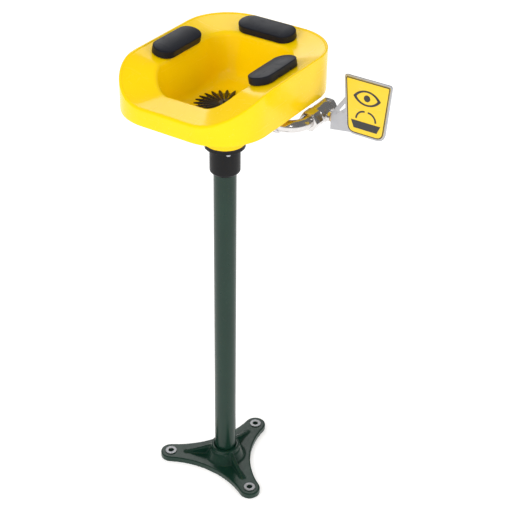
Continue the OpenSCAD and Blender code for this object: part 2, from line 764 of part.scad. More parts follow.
// Cylinder along Y between two places measured from the ball's centre
module y_rod(y0, y1, r) {
    translate([0, y0, 0]) toward_y() cylinder(h = y1 - y0, r = r);
}
module union_nut() {
    front = spigot_y - valve_y - control_t - collar_t;
    color([0.75, 0.75, 0.77]) at_valve() difference() {
        translate([0, front - nut_lip, 0]) toward_y()
            hex(union_af, body_front_y - valve_y - front + nut_lip - 1);
        y_rod(front - nut_lip - EPS, 0, supply_r + 2 * fit);
        y_rod(front, 0, spigot_r + fit);
    }
}
module flow_control() {
    color([0.2, 0.35, 0.6]) at_valve() difference() {
        y_rod(spigot_y - valve_y - control_t, spigot_y - valve_y, collar_r);
        y_rod(-valve_y, 0, 4);
    }
}
module valve_body() {
    chamber_y = -seat_y;
    color([0.68, 0.68, 0.7]) at_valve() difference() {
        union() {
            y_rod(spigot_y - valve_y, body_front_y - valve_y + 1, spigot_r);
            y_rod(body_front_y - valve_y, body_back_y - valve_y, valve_r);
            toward_x() cylinder(h = bonnet_x, r = bonnet_r);
        }
        y_rod(-valve_y, 0, way_r);
        y_rod(chamber_y, body_back_y, chamber_r);
        toward_x() cylinder(h = bonnet_x, r = stem_r + fit);
        toward_x() translate([0, 0, packing_x]) cylinder(h = bonnet_x, r = packing_r);
    }
}
module valve_end() {
    color([0.72, 0.72, 0.74]) at_valve() difference() {
        union() {
            y_rod(seat_y, body_back_y - valve_y + EPS, chamber_r - 2 * fit);
            translate([0, body_back_y - valve_y, 0]) toward_y() hex(end_flats, inlet_l);
        }
        y_rod(0, body_back_y, way_r);
        y_rod(body_back_y - valve_y, end_y, inlet_d / 2);
    }
}
module valve_seats() {
    color([0.95, 0.95, 0.95]) at_valve() for (side = [-1, 1]) scale([1, side, 1])
        difference() {
            y_rod(seat_in_y, seat_y, chamber_r - 2 * fit);
            y_rod(0, seat_y + 1, way_r);
            sphere(r = ball_r + 2 * fit);
        }
}
// The ball's waterway stands upright while the valve is shut
module valve_ball() {
    color([0.85, 0.85, 0.87]) at_valve() difference() {
        sphere(r = ball_r);
        cylinder(h = 2 * ball_d, r = waterway_d / 2, center = true);
        translate([tang_x, -tang_w / 2 - fit, -ball_r])
            cube([ball_r, tang_w + 2 * fit, ball_d]);
    }
}
module valve_stem() {
    color([0.8, 0.8, 0.82]) at_valve() {
        translate([ball_r + 0.5, 0, 0]) toward_x()
            cylinder(h = hub_x + sheet_t + handle_nut_h - ball_r + 1, r = stem_r);
        translate([tang_x + fit, -tang_w / 2, -stem_r + 1])
            cube([ball_r + 0.6 - tang_x, tang_w, stem_d - 2]);
    }
}
module stem_packing() {
    color([0.9, 0.9, 0.88]) at_valve() toward_x() translate([0, 0, packing_x])
        tube(packing_r - fit, stem_r + fit, packing_l);
}
module gland_nut() {
    below = packing_x + packing_l;
    color([0.75, 0.65, 0.35]) at_valve() toward_x() difference() {
        union() {
            translate([0, 0, below]) cylinder(h = bonnet_x - below + EPS, r = packing_r - fit);
            translate([0, 0, bonnet_x]) hex(gland_af, gland_h);
        }
        cylinder(h = bonnet_x + gland_h + 1, r = stem_r + fit);
    }
}
module handle_nut() {
    color([0.8, 0.8, 0.82]) at_valve() toward_x() translate([0, 0, hub_x + sheet_t])
        difference() {
            hex(handle_nut_af, handle_nut_h);
            translate([0, 0, -EPS]) cylinder(h = handle_nut_h + 1, r = stem_r + fit);
        }
}

// ---- push flag -----------------------------------------------------------------
// Upright sheet facing the front, drawn in its own X and Z, with its back at a given Y
module front_sheet(back_y, t) {
    translate([0, back_y, 0]) rotate([90, 0, 0]) linear_extrude(t) children();
}
module flag_bracket() {
    bend_x = valve_x + hub_x;
    reach = flag_x + 30;
    gap_x = flag_x + 10;
    rise = supply_z + flag_h * 0.62;
    color([0.72, 0.72, 0.73]) difference() {
        union() {
            translate([bend_x, arm_y - sheet_t, supply_z - hub_top])
                cube([sheet_t, hub_w, 2 * hub_top]);
            front_sheet(arm_y, sheet_t) difference() {
                polygon([[bend_x, arm_z], [reach, arm_z + brace_w], [reach, rise],
                         [gap_x + 2, rise], [bend_x, supply_z + hub_top]]);
                polygon([[bend_x + brace_w + 2, supply_z + hub_top + 1],
                         [gap_x, supply_z + flag_h * 0.35], [gap_x, rise - brace_w - 8]]);
            }
        }
        at_valve() toward_x() cylinder(h = 2 * hub_x, r = stem_r + fit);
        at_rivets() cylinder(h = 20, r = rivet_r + fit, center = true);
    }
}
// Rounded trapezium of the flag, set in from its edge
module flag_outline(inset) {
    half_top = flag_top_w / 2 - inset;
    half_foot = flag_foot_w / 2 - inset;
    top = flag_h - inset;
    top_r = max(1, flag_top_r - inset);
    foot_r = flag_foot_r - inset;
    lean = atan((half_top - half_foot) / (top - inset));
    right = concat(
        arc(half_foot - foot_r * (1 - sin(lean)) / cos(lean), inset + foot_r, foot_r,
            -90, -lean, 6),
        arc(half_top - top_r * (1 + sin(lean)) / cos(lean), top - top_r, top_r,
            -lean, 90, 6));
    left = [for (i = [len(right) - 1:-1:0]) [-right[i].x, right[i].y]];
    translate([flag_mid_x, flag_z]) polygon(concat(right, left));
}
module at_rivets() {
    for (z = [16, flag_h * 0.5]) translate([flag_x + rivet_in, arm_y, flag_z + z])
        rotate([90, 0, 0]) children();
}
module flag_plate() {
    color([0.75, 0.75, 0.77]) difference() {
        front_sheet(arm_y - sheet_t, sheet_t) flag_outline(0);
        at_rivets() cylinder(h = 20, r = rivet_r + fit, center = true);
    }
}
module flag_face() {
    color([0.96, 0.80, 0.05])
        front_sheet(arm_y - 2 * sheet_t, face_t) flag_outline(flag_border);
}
// Eye over two jets of water that rise from a basin
module flag_symbol() {
    line = 3;
    eye_w = 26;
    eye_h = 14;
    pupil_r = 6;
    eye_z = flag_h * 0.68;
    jet_z = flag_h * 0.3;
    jet_r = 17;
    basin_z = flag_h * 0.13;
    basin_h = 14;
    color([0.08, 0.08, 0.08])
        front_sheet(arm_y - 2 * sheet_t - face_t, symbol_t) translate([flag_mid_x, flag_z]) {
            translate([0, eye_z]) difference() {
                lens(eye_w, eye_h);
                lens(eye_w - 2 * line, eye_h - line);
            }
            translate([0, eye_z]) circle(pupil_r);
            for (side = [-1, 1]) translate([side * line, jet_z]) intersection() {
                difference() {
                    circle(jet_r);
                    circle(jet_r - line);
                }
                translate([side * jet_r / 2, jet_r / 2]) square(jet_r, center = true);
            }
            translate([0, basin_z])
                polygon([[-22, 0], [22, 0], [28, basin_h], [-28, basin_h]]);
        }
}
// Pointed oval between two arcs
module lens(half_w, half_h) {
    r = (pow(half_w, 2) + pow(half_h, 2)) / (2 * half_h);
    intersection_for (side = [-1, 1]) translate([0, side * (r - half_h)]) circle(r);
}
// Rivets with a head at the back, flush with the plate under the face
module flag_rivets() {
    color([0.85, 0.85, 0.87]) at_rivets() {
        cylinder(h = 2 * sheet_t, r = rivet_r);
        translate([0, 0, -rivet_head_h]) cylinder(h = rivet_head_h, r = rivet_r + 1.8);
    }
}

floor_flange();
anchor_washers();
pedestal_pipe();
pedestal_socket();
socket_gasket();
socket_screws();
bowl();
strainer();
strainer_bar();
strainer_screw();
gasket_left();
gasket_right();
gasket_back();
spray_head_left();
spray_head_right();
spray_head_back();
jet_plate_left();
jet_plate_right();
jet_plate_back();
locknut_left();
locknut_right();
locknut_back();
hinge_pin_left();
hinge_pin_right();
hinge_pin_back();
dust_cover_left();
dust_cover_right();
dust_cover_back();
right_tee();
back_tee();
left_elbow();
feed_tube_right();
feed_tube_left();
feed_nuts();
supply_elbow();
riser_nipple();
supply_pipe();
union_nut();
flow_control();
valve_body();
valve_end();
valve_seats();
valve_ball();
valve_stem();
stem_packing();
gland_nut();
handle_nut();
flag_bracket();
flag_plate();
flag_face();
flag_symbol();
flag_rivets();
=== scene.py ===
import json
import math

import bmesh
import bpy
from mathutils import Matrix, Vector


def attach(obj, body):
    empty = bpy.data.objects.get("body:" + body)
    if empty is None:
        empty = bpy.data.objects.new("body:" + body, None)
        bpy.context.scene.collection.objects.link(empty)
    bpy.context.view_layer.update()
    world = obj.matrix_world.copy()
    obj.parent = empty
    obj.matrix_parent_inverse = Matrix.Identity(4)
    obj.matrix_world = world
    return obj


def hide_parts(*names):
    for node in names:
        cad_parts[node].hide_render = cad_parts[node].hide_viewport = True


MM = 0.001
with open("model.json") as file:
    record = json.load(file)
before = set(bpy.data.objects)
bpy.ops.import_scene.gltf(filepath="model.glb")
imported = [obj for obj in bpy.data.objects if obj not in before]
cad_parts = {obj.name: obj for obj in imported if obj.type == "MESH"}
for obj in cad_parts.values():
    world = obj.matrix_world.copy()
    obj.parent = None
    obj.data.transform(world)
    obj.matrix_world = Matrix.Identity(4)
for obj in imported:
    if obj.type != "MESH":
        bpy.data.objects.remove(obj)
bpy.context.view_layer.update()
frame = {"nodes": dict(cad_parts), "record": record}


# ---- camera, floor and light -----------------------------------------------------------
def add_camera():
    """Camera at the front right, a little above the bowl, with a long lens."""
    data = bpy.data.cameras.new("camera")
    data.sensor_width = 36
    data.lens = 91.4
    data.clip_end = 100
    camera = bpy.data.objects.new("camera", data)
    bpy.context.scene.collection.objects.link(camera)
    right = Vector((0.8342, 0.5514, 0.0121))
    up = Vector((-0.3101, 0.4508, 0.8370))
    turn = Matrix((right, up, right.cross(up))).transposed()
    camera.matrix_world = Matrix.LocRotScale(
        Vector((1.1576, -1.6758, 1.8325)), turn.to_quaternion(), None)
    bpy.context.scene.camera = camera


def add_soft_light(name, place, target, width, height, power, colour=(1, 1, 1)):
    data = bpy.data.lights.new(name, "AREA")
    data.shape = "RECTANGLE"
    data.size = width
    data.size_y = height
    data.energy = power
    data.color = colour
    lamp = bpy.data.objects.new(name, data)
    bpy.context.scene.collection.objects.link(lamp)
    lamp.location = place
    lamp.rotation_mode = "QUATERNION"
    lamp.rotation_quaternion = (Vector(target) - Vector(place)).to_track_quat("-Z", "Y")
    return lamp


# ---- finishes --------------------------------------------------------------------------
class Value:
    """A socket of a finish. Arithmetic on it adds Math nodes."""

    def __init__(self, finish, socket):
        self.finish = finish
        self.socket = socket

    def maths(self, operation, *sides):
        return self.finish.node("ShaderNodeMath", {"operation": operation},
                                dict(enumerate(sides)))

    def __add__(self, other):
        return self.maths("ADD", self, other)

    def __sub__(self, other):
        return self.maths("SUBTRACT", self, other)

    def __rsub__(self, other):
        return self.maths("SUBTRACT", other, self)

    def __mul__(self, other):
        return self.maths("MULTIPLY", self, other)

    def __truediv__(self, other):
        return self.maths("DIVIDE", self, other)

    def __rtruediv__(self, other):
        return self.maths("DIVIDE", other, self)

    def __pow__(self, other):
        return self.maths("POWER", self, other)

    __radd__ = __add__
    __rmul__ = __mul__

    def above(self, low, high):
        """0 below low, 1 above high, and a smooth step between them."""
        return self.finish.node("ShaderNodeMapRange", {"interpolation_type": "SMOOTHSTEP"},
                                {"Value": self, "From Min": low, "From Max": high})


class Finish:
    """One material. Even values go on the shader's own sockets."""

    def __init__(self, name, **even):
        self.material = bpy.data.materials.new(name)
        self.material.use_nodes = True
        self.tree = self.material.node_tree
        self.shader = self.tree.nodes["Principled BSDF"]
        for key, value in even.items():
            self.feed(self.shader.inputs[key.replace("_", " ")], value)

    def feed(self, socket, value):
        if isinstance(value, Value):
            self.tree.links.new(value.socket, socket)
        elif isinstance(value, tuple) and len(value) < len(socket.default_value):
            socket.default_value = (*value, 1)
        else:
            socket.default_value = value

    def node(self, kind, settings=None, sockets=None, output=0):
        made = self.tree.nodes.new(kind)
        for key, value in (settings or {}).items():
            if key == "stops":
                self.set_stops(made.color_ramp, value)
            else:
                setattr(made, key, value)
        for key, value in (sockets or {}).items():
            found = [s for s in made.inputs if s.identifier == key]
            self.feed(found[0] if found else made.inputs[key], value)
        return Value(self, made.outputs[output])

    def set_stops(self, ramp, stops):
        while len(ramp.elements) < len(stops):
            ramp.elements.new(1)
        for element, (place, colour) in zip(ramp.elements, stops):
            element.position = place
            element.color = (*colour, 1)

    def place(self, size, stretch=(1, 1, 1)):
        """Position on the piece, in units of size millimetres."""
        coordinates = self.node("ShaderNodeTexCoord", output="Object")
        scale = tuple(1 / (size * MM * s) for s in stretch)
        return self.node("ShaderNodeVectorMath", {"operation": "MULTIPLY"},
                         {0: coordinates, 1: scale})

    def axis(self, index):
        """X, Y or Z of the piece, in millimetres."""
        return self.node("ShaderNodeSeparateXYZ", None, {0: self.place(1)}, index)

    def noise(self, size, detail=2.0, stretch=(1, 1, 1), roughness=0.5):
        return self.node("ShaderNodeTexNoise", None, {
            "Vector": self.place(size, stretch), "Scale": 1.0, "Detail": detail,
            "Roughness": roughness})

    def cells(self, size, stretch=(1, 1, 1), feature="F1"):
        return self.node("ShaderNodeTexVoronoi", {"feature": feature}, {
            "Vector": self.place(size, stretch), "Scale": 1.0})

    def mix(self, a, b, share):
        return self.node("ShaderNodeMix", {"data_type": "RGBA"}, {
            "Factor_Float": share, "A_Color": a, "B_Color": b}, 2)

    def specks(self, size, amount):
        """1 in small scattered specks, 0 elsewhere."""
        return 1 - self.cells(size).above(amount * 0.6, amount)

    def hairlines(self, size, stretch, low=0.62, high=0.7):
        """1 along thin worn lines, 0 elsewhere."""
        return self.noise(size, 3.0, stretch).above(low, high)

    def bump(self, height, depth, strength=1.0, under=None):
        """Relief that is depth millimetres deep where height goes from 0 to 1."""
        sockets = {"Height": height, "Distance": depth * MM, "Strength": strength}
        if under:
            sockets["Normal"] = under
        return self.node("ShaderNodeBump", None, sockets)

    def varies(self, **sockets):
        for key, value in sockets.items():
            self.feed(self.shader.inputs[key.replace("_", " ")], value)
        return self.material


def moulded_yellow():
    f = Finish("moulded_yellow", IOR=1.5, Coat_Weight=0.12, Coat_Roughness=0.04,
               Specular_IOR_Level=0.18)
    clouds = f.noise(90, 3.0)
    dust = f.specks(9, 0.09) * f.noise(30).above(0.45, 0.6)
    colour = f.mix((0.96, 0.60, 0.0), (1.0, 0.69, 0.0), clouds)
    colour = f.mix(colour, (0.80, 0.66, 0.25), dust * 0.35)
    scratches = f.hairlines(6, (12, 1, 1)) + f.hairlines(7, (1, 10, 1))
    rough = 0.17 + 0.10 * f.noise(40) + 0.10 * scratches + 0.25 * dust
    peel = f.bump(f.noise(5, 2.0), 0.05, 0.5)
    return f.varies(Base_Color=colour, Roughness=rough,
                    Normal=f.bump(f.noise(60, 2.0), 0.5, 0.35, peel))


def grained_plastic(name, dark, light, rough, grain=0.9, depth=0.06, **even):
    """Moulded plastic with a fine grain, soft clouding and a little dust."""
    f = Finish(name, **even)
    clouds = f.noise(35, 3.0)
    dust = f.specks(6, 0.12) * f.noise(22).above(0.42, 0.6)
    colour = f.mix(dark, light, clouds)
    colour = f.mix(colour, tuple(min(1, c * 2 + 0.06) for c in light), dust * 0.5)
    scuffs = f.hairlines(5, (9, 1, 1)) + f.hairlines(5, (1, 9, 1))
    roughness = rough + 0.12 * f.noise(14) + 0.1 * dust + 0.08 * scuffs
    return f.varies(Base_Color=colour, Roughness=roughness,
                    Normal=f.bump(f.cells(grain), depth, 0.55))


def painted_iron(name, peel, casting):
    """Dark green enamel. Peel and casting are the depths of its fine and broad relief."""
    f = Finish(name, IOR=1.5, Coat_Weight=0.12, Coat_Roughness=0.08,
               Specular_IOR_Level=0.3)
    clouds = f.noise(50, 4.0)
    colour = f.mix((0.003, 0.020, 0.012), (0.006, 0.032, 0.020), clouds)
    dust = f.specks(5, 0.11) * f.noise(26).above(0.45, 0.62)
    colour = f.mix(colour, (0.18, 0.20, 0.17), dust * 0.45)
    rough = 0.23 + 0.14 * f.noise(18) + 0.25 * dust
    fine = f.bump(f.noise(2.6, 2.0), peel, 0.6)
    return f.varies(Base_Color=colour, Roughness=rough,
                    Normal=f.bump(f.noise(11, 4.0), casting, 0.7, fine))


def metal(name, dark, light, rough, brush=(1, 1, 1), size=1.2, depth=0.02, stain=0.2,
          **even):
    """Bare or plated metal. Brush stretches its fine marks along an axis."""
    f = Finish(name, Metallic=1.0, **even)
    clouds = f.noise(16, 4.0)
    marks = f.noise(size, 3.0, brush)
    colour = f.mix(dark, light, clouds * 0.6 + marks * 0.4)
    spots = f.noise(9, 5.0).above(0.6, 0.72)
    colour = f.mix(colour, tuple(c * 0.55 for c in dark), spots * stain)
    roughness = rough + 0.14 * marks + 0.2 * spots * stain
    return f.varies(Base_Color=colour, Roughness=roughness,
                    Normal=f.bump(marks, depth, 0.6))


def printed_sheet(name, dark, light, rough):
    """Printed film on a sign, with light wear."""
    f = Finish(name, Coat_Weight=0.3, Coat_Roughness=0.12)
    wear = f.hairlines(4, (7, 1, 1)) * f.noise(20).above(0.45, 0.6)
    colour = f.mix(dark, light, f.noise(25, 3.0))
    rough = rough + 0.15 * f.noise(9) + 0.15 * wear
    return f.varies(Base_Color=f.mix(colour, tuple(0.5 * c + 0.3 for c in light),
                                     wear * 0.3),
                    Roughness=rough, Normal=f.bump(f.noise(1.5), 0.015, 0.4))


FINISHES = {
    "yellow_bowl": moulded_yellow(),
    "green_paint": painted_iron("green_paint", 0.02, 0.05),
    "green_casting": painted_iron("green_casting", 0.06, 0.5),
    "black_plastic": grained_plastic("black_plastic", (0.005, 0.005, 0.006),
                                     (0.010, 0.010, 0.011), 0.36,
                                     Specular_IOR_Level=0.18),
    "cover_plastic": grained_plastic("cover_plastic", (0.007, 0.008, 0.013),
                                     (0.013, 0.015, 0.023), 0.34,
                                     Specular_IOR_Level=0.2),
    "head_plastic": grained_plastic("head_plastic", (0.02, 0.022, 0.025),
                                    (0.03, 0.032, 0.036), 0.4),
    "strainer_black": grained_plastic("strainer_black", (0.012, 0.009, 0.007),
                                      (0.03, 0.022, 0.016), 0.4),
    "rubber": grained_plastic("rubber", (0.012, 0.012, 0.012), (0.02, 0.02, 0.02), 0.65,
                              0.5, 0.05),
    "seat_white": grained_plastic("seat_white", (0.75, 0.74, 0.70), (0.85, 0.84, 0.80),
                                  0.45),
    "blue_plastic": grained_plastic("blue_plastic", (0.02, 0.08, 0.26),
                                    (0.03, 0.12, 0.34), 0.35),
    "zinc": metal("zinc", (0.40, 0.41, 0.43), (0.58, 0.58, 0.60), 0.38),
    "stainless": metal("stainless", (0.42, 0.42, 0.44), (0.58, 0.58, 0.60), 0.26,
                       (1, 1, 14), 0.9),
    "chrome": metal("chrome", (0.58, 0.55, 0.53), (0.78, 0.76, 0.75), 0.12, depth=0.006,
                    stain=0.12),
    "brass": metal("brass", (0.55, 0.36, 0.12), (0.74, 0.52, 0.22), 0.28),
    "sheet_steel": metal("sheet_steel", (0.40, 0.40, 0.42), (0.54, 0.54, 0.56), 0.30,
                         (16, 1, 1), 0.8),
    "sign_yellow": printed_sheet("sign_yellow", (0.78, 0.52, 0.004), (0.86, 0.60, 0.01),
                                 0.3),
    "sign_black": printed_sheet("sign_black", (0.01, 0.01, 0.01), (0.02, 0.02, 0.02),
                                0.35),
}


def paint_cad_nodes():
    """Gives each node of the frame the finish that its material slot names."""
    for entry in frame["record"]["subparts"]:
        node = frame["nodes"].get(entry["node"])
        if node is None:
            continue
        node.data.materials.clear()
        node.data.materials.append(FINISHES[entry["material_slot"]])


add_camera()


# ---- sizes in millimetres, as in the part's source -------------------------------------
BOWL_W, BOWL_D, RIM_Z, SKIRT_Z, WALL = 280, 346, 910, 832, 4
CORNER_R, BEAD_W, BEAD_H = 90, 5, 1.5
BASIN_X, BASIN_FRONT, BASIN_BACK, BASIN_R = 84.5, 114, 112, 50
LEDGE_FALL, EDGE_DIP, RIM_DIP, DIP_Y, DIP_POWER = 12, 30, 48, -71, 1.7
FLOOR_Z, CUP_Z, CUP_R, CUP_STEP_R, CUP_STEP = 816, 743, 46, 41, 9
OUTLET_R, STRAINER_R = 17.5, 56
HEAD_INSET, HEAD_Y = 39.5, -3
COVER_L, COVER_W, COVER_H, COVER_WALL, COVER_GAP, CROWN = 114, 44, 15, 2.5, 1.3, 1.5
PIN_X, PIN_Z, KNUCKLE_R, KNUCKLE_L, EAR_L = 19.9, 3.4, 2.1, 30, 6
VALVE = Vector((149, 73, 812))
FEED_Z, LEG, HEAD_L, HEAD_W = 855, 20, 98, 30
FLAG_MID, FLAG_Z, FLAG_H, FLAG_TOP, FLAG_FOOT = 247.5, 801, 107, 91, 74
FLAG_BACK, SHEET, FACE = 61, 2, 0.8
FLOOR_R, FLOOR_T = 40000, 20
THREAD_PITCH, NUT_STEPS = 1.8, 96


def slope(width):
    return math.degrees(math.atan((LEDGE_FALL - BEAD_H) / (width - BEAD_W)))


def seat_height(tilt):
    return RIM_Z - BEAD_H - math.tan(math.radians(tilt)) * (HEAD_INSET - BEAD_W)


def spin(axis, degrees):
    return Matrix.Rotation(math.radians(degrees), 4, axis)


SIDE_TILT, BACK_TILT = slope(BOWL_W / 2 - BASIN_X), slope(BOWL_D / 2 - BASIN_BACK)
SIDE_X, BACK_Y = BOWL_W / 2 - HEAD_INSET, BOWL_D / 2 - HEAD_INSET
HEADS = {
    "left": ((-SIDE_X, HEAD_Y, seat_height(SIDE_TILT)), 180, SIDE_TILT),
    "right": ((SIDE_X, HEAD_Y, seat_height(SIDE_TILT)), 0, SIDE_TILT),
    "back": ((0, BACK_Y, seat_height(BACK_TILT)), 90, BACK_TILT),
}


def on_ledge(side):
    """Frame on a spray head's seat: +X points to the outside of the bowl."""
    place, turn, tilt = HEADS[side]
    return Matrix.Translation(place) @ spin("Z", turn) @ spin("Y", -tilt)


# ---- mesh building ---------------------------------------------------------------------
def eased(points, cuts, steps=4, mids=0, closed=True):
    """Polyline with its corners rounded. Cuts is how far from each corner that starts."""
    rounded = []
    count = len(points)
    if not isinstance(cuts, (list, tuple)):
        cuts = [cuts] * count
    for i, point in enumerate(points):
        p = Vector(point)
        if not closed and i in (0, count - 1):
            rounded.append([p])
            continue
        a, b = Vector(points[i - 1]) - p, Vector(points[(i + 1) % count]) - p
        cut = min(cuts[i], 0.46 * a.length, 0.46 * b.length)
        start, end = p + a.normalized() * cut, p + b.normalized() * cut
        rounded.append([start.lerp(p, t).lerp(p.lerp(end, t), t)
                        for t in (k / steps for k in range(steps + 1))])
    line = []
    for i, corner in enumerate(rounded):
        line += corner
        if i + 1 < count or closed:
            after = rounded[(i + 1) % count][0]
            line += [corner[-1].lerp(after, k / (mids + 1)) for k in range(1, mids + 1)]
    return line


def eased_rings(rings, cuts, steps=4, mids=0, closed=True):
    """The same rounding across a stack of rings that have equal numbers of points."""
    columns = [eased(list(column), cuts, steps, mids, closed) for column in zip(*rings)]
    return [list(ring) for ring in zip(*columns)]


def loft(bm, rings, loop=False, place=None, capped=True):
    """Skin through rings. A loop joins the last ring to the first."""
    place = place or Matrix.Identity(4)
    rows = [[bm.verts.new(MM * (place @ Vector(p))) for p in ring] for ring in rings]
    pairs = list(zip(rows, rows[1:]))
    if loop:
        pairs.append((rows[-1], rows[0]))
    n = len(rows[0])
    for low, high in pairs:
        for i in range(n):
            j = (i + 1) % n
            bm.faces.new((low[i], low[j], high[j], high[i]))
    if capped and not loop:
        bm.faces.new(list(reversed(rows[0])))
        bm.faces.new(rows[-1])


def circle(r, z, steps=64):
    return [(r * math.cos(math.tau * k / steps), r * math.sin(math.tau * k / steps), z)
            for k in range(steps)]


def turned(bm, profile, place=None, loop=True, steps=64):
    """Solid turned about Z from (radius, height) points: a ring if it loops."""
    loft(bm, [circle(r, z, steps) for r, z in profile], loop, place)


def tube_profile(r_in, r_out, z0, z1):
    return [(r_in, z0), (r_out, z0), (r_out, z1), (r_in, z1)]


def hexagon(across, limit, z, steps=NUT_STEPS):
    """Hexagon with its corners cut back to a circle of radius limit."""
    ring = []
    for k in range(steps):
        a = math.tau * k / steps
        flat = across / 2 / math.cos(a % (math.pi / 3) - math.pi / 6)
        r = min(flat, limit)
        ring.append((r * math.cos(a), r * math.sin(a), z))
    return ring


def hex_nut(bm, across, bore, height, place, chamfer=1.1):
    """Hexagon nut along +Z, its corners chamfered at both ends."""
    half = across / 2
    ends = [(0, 0.955), (0.35, 1.02), (0.7, 1.08), (1, 1.16)]
    sides = [(chamfer * z, half * r) for z, r in ends]
    rings = [circle(bore, 0, NUT_STEPS), circle(bore + 0.5, 0, NUT_STEPS)]
    rings += [hexagon(across, r, z) for z, r in sides]
    rings += [hexagon(across, r, height - z) for z, r in reversed(sides)]
    rings += [circle(bore + 0.5, height, NUT_STEPS),
              circle(bore, height, NUT_STEPS)]
    loft(bm, rings, True, place)


def plate(bm, outline, thickness, place, edge=0.4):
    """Flat sheet from an outline in X and Y, its edges rounded."""
    outline = [Vector(p) for p in outline]
    n = len(outline)
    normals = []
    for i, p in enumerate(outline):
        along = (outline[(i + 1) % n] - outline[i - 1]).normalized()
        normals.append(Vector((along.y, -along.x)))

    def ring(inset, z):
        return [(*(p - inset * m), z) for p, m in zip(outline, normals)]
    third = edge * 0.3
    loft(bm, [ring(edge, 0), ring(third, third), ring(0, edge), ring(0, thickness - edge),
              ring(third, thickness - third), ring(edge, thickness)], place=place)


def piece(name, bm, body, finish, stands_for=(), sharp=38, subdivide=0):
    """Makes a finished piece of the mesh and lets it ride on its body."""
    bmesh.ops.remove_doubles(bm, verts=bm.verts, dist=1e-7)
    bmesh.ops.recalc_face_normals(bm, faces=bm.faces)
    for face in bm.faces:
        face.smooth = True
    for edge in bm.edges:
        edge.smooth = edge.calc_face_angle(0) < math.radians(sharp)
    mesh = bpy.data.meshes.new(name)
    bm.to_mesh(mesh)
    bm.free()
    mesh.materials.append(FINISHES[finish])
    made = bpy.data.objects.new(name, mesh)
    bpy.context.scene.collection.objects.link(made)
    if subdivide:
        made.modifiers.new("subdivide", "SUBSURF").levels = subdivide
        made.modifiers["subdivide"].render_levels = subdivide
    made.modifiers.new("weight", "WEIGHTED_NORMAL").keep_sharp = True
    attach(made, body)
    if stands_for:
        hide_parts(*stands_for)
    return made


# ---- bowl ------------------------------------------------------------------------------
def arc(cx, cy, r, start, end, steps):
    angles = [math.radians(start + (end - start) * k / steps) for k in range(steps + 1)]
    return [(cx + r * math.cos(a), cy + r * math.sin(a)) for a in angles]


def rounded_plan(side, front, back, r, steps=22, mids=10):
    """Rounded rectangle, anticlockwise, with points along its straight sides too."""
    corners = [arc(side - r, back - r, r, 0, 90, steps),
               arc(r - side, back - r, r, 90, 180, steps),
               arc(r - side, r - front, r, 180, 270, steps),
               arc(side - r, r - front, r, 270, 360, steps)]
    points = []
    for i, corner in enumerate(corners):
        a, b = Vector(corner[-1]), Vector(corners[(i + 1) % 4][0])
        points += [Vector(p) for p in corner]
        points += [a.lerp(b, k / mids) for k in range(1, mids)]
    return points


def outer_plan(inset):
    return rounded_plan(BOWL_W / 2 - inset, BOWL_D / 2 - inset, BOWL_D / 2 - inset,
                        CORNER_R - inset)


def basin_plan(inset):
    return rounded_plan(BASIN_X - inset, BASIN_FRONT - inset, BASIN_BACK - inset,
                        BASIN_R - inset)


def dip(y, deep, front):
    return deep * max(0, min(1, (DIP_Y - y) / (DIP_Y + front))) ** DIP_POWER


def flat_ring(points, z):
    return [(*p, z) for p in points]


def rim_ring(inset, up):
    return [(*p, RIM_Z + up - dip(p.y, RIM_DIP, BOWL_D / 2)) for p in outer_plan(inset)]


def edge_ring(inset, up):
    return [(*p, RIM_Z - LEDGE_FALL + up - dip(p.y, EDGE_DIP, BASIN_FRONT))
            for p in basin_plan(inset)]


def round_ring(r, z):
    return [(*(r * p.normalized()), z) for p in basin_plan(0)]


def build_bowl():
    under = CUP_STEP + WALL
    stations = [
        (flat_ring(outer_plan(0), SKIRT_Z), 1.2),
        (rim_ring(0, 0), 2.6),
        (rim_ring(3.8, 0), 1.6),
        (rim_ring(BEAD_W, -BEAD_H), 2.5),
        (edge_ring(0, 0), 7),
        (flat_ring(basin_plan(21), FLOOR_Z + 7), 16),
        (round_ring(STRAINER_R + 3, FLOOR_Z), 5),
        (round_ring(CUP_R, FLOOR_Z), 1.5),
        (round_ring(CUP_R, FLOOR_Z - CUP_STEP), 1.5),
        (round_ring(CUP_STEP_R, FLOOR_Z - CUP_STEP), 1.5),
        (round_ring(OUTLET_R + 4, CUP_Z + 14), 8),
        (round_ring(OUTLET_R, CUP_Z + 9), 3),
        (round_ring(OUTLET_R, CUP_Z), 0.5),
        (round_ring(37, CUP_Z), 1.2),
        (round_ring(37, CUP_Z + 12), 3),
        (round_ring(CUP_STEP_R + WALL, FLOOR_Z - under), 3),
        (round_ring(CUP_R + WALL, FLOOR_Z - CUP_STEP), 2),
        (round_ring(CUP_R + WALL + 2, FLOOR_Z - WALL), 2),
        (flat_ring(basin_plan(16), FLOOR_Z + 5), 12),
        (edge_ring(-WALL, -WALL), 8),
        (rim_ring(WALL + 1, -BEAD_H - WALL - 1), 3),
        (flat_ring(outer_plan(WALL), SKIRT_Z), 1.2)]
    rings = eased_rings([s[0] for s in stations], [s[1] for s in stations], 4, 3)
    bm = bmesh.new()
    loft(bm, rings, True)
    for place, _, _ in HEADS.values():
        boss = eased([(10.5, -16), (19, -16), (19, 2), (10.5, 2)], [1, 1.5, 0, 0])
        turned(bm, boss, Matrix.Translation(place) @ Matrix.Translation((0, 0, -4)))
    piece("bowl_moulding", bm, "stand", "yellow_bowl", ["bowl"])


